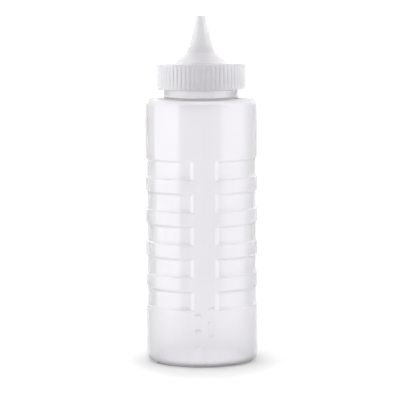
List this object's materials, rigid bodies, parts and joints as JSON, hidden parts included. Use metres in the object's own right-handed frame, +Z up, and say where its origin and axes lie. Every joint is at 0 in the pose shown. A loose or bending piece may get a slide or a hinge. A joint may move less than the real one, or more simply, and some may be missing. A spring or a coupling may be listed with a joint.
{
  "type": "squeeze bottle",
  "caption": "Translucent squeeze bottle with grip grooves and a plain measuring strip, closed by a ribbed screw cap that ends in an open cone spout.",
  "frame": {"origin": "middle of the underside, on the plane that the bottle stands on", "axes": "+Z up along the bottle's axis to the spout's tip, and the measuring strip faces -Y"},
  "size_m": [0.0752, 0.0752, 0.2326],
  "materials": {
    "bottle_plastic": "satin, translucent natural polyethylene",
    "cap_plastic": "satin, milky natural polyethylene",
    "liner_foam": "matt closed-cell foam"
  },
  "bodies": {
    "bottle": {"bottle": "bottle_plastic"},
    "liner": {"cap_liner": "liner_foam"},
    "cap": {"cap": "cap_plastic"}
  },
  "joints": [
    {"name": "cap_lift", "type": "slide", "parent": "bottle", "child": "liner", "axis": [0, 0, 1], "range_m": [0, 0.00471]},
    {"name": "cap_turn", "type": "hinge", "parent": "liner", "child": "cap", "pos_m": [0, 0, 0.19], "axis": [0, 0, 1], "range_deg": [0, 400]}
  ],
  "couplings": [
    {"joint": "cap_lift", "follows": "cap_turn", "m_per_rad": 0.0006737}
  ]
}
